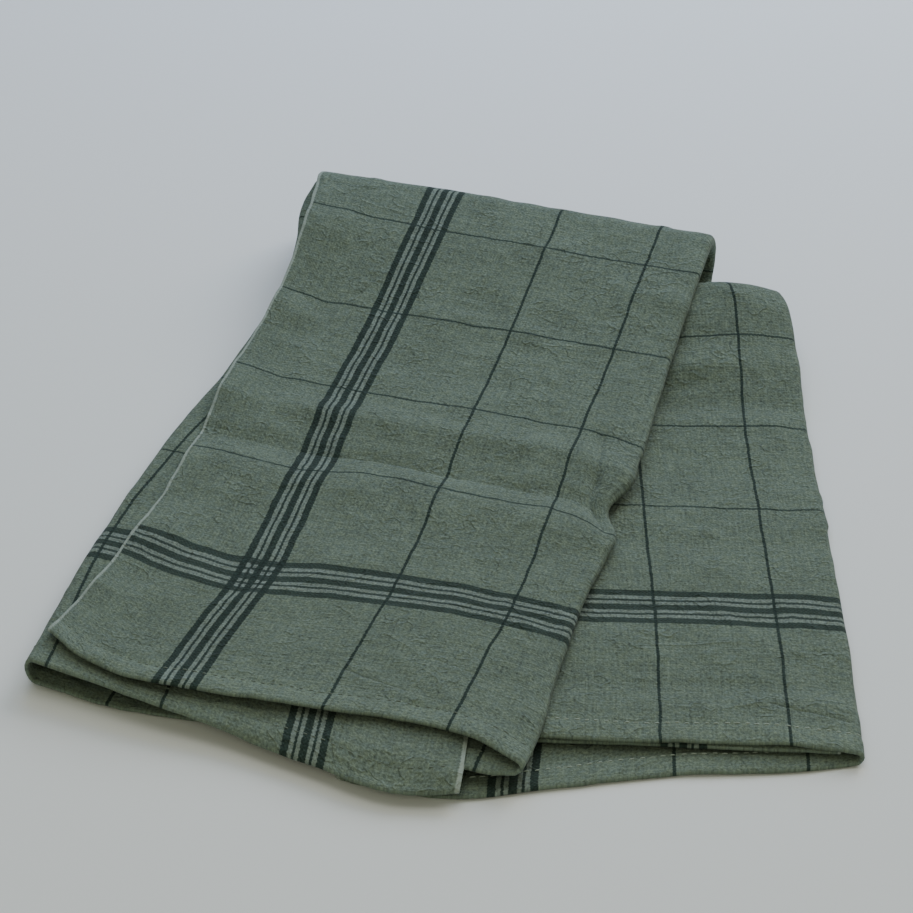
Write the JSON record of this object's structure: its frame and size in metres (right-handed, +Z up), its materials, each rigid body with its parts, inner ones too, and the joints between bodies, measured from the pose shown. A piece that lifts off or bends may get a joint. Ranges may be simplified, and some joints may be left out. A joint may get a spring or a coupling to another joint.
{
  "type": "tea towel",
  "caption": "Checked linen tea towel folded lengthwise into a strip and then back over itself, lying flat in a loose fan.",
  "frame": {"origin": "centre of the bounding box, on the surface that the folded towel lies on", "axes": "+Z up; +Y from the hems towards the soft fold at the back, the longest side; +X to the right, seen from the hems"},
  "size_m": [0.281, 0.3802, 0.0349],
  "materials": {
    "linen": "matt washed linen, grey-green with a darker woven check"
  },
  "bodies": {
    "root": {"towel": "linen"}
  },
  "joints": []
}
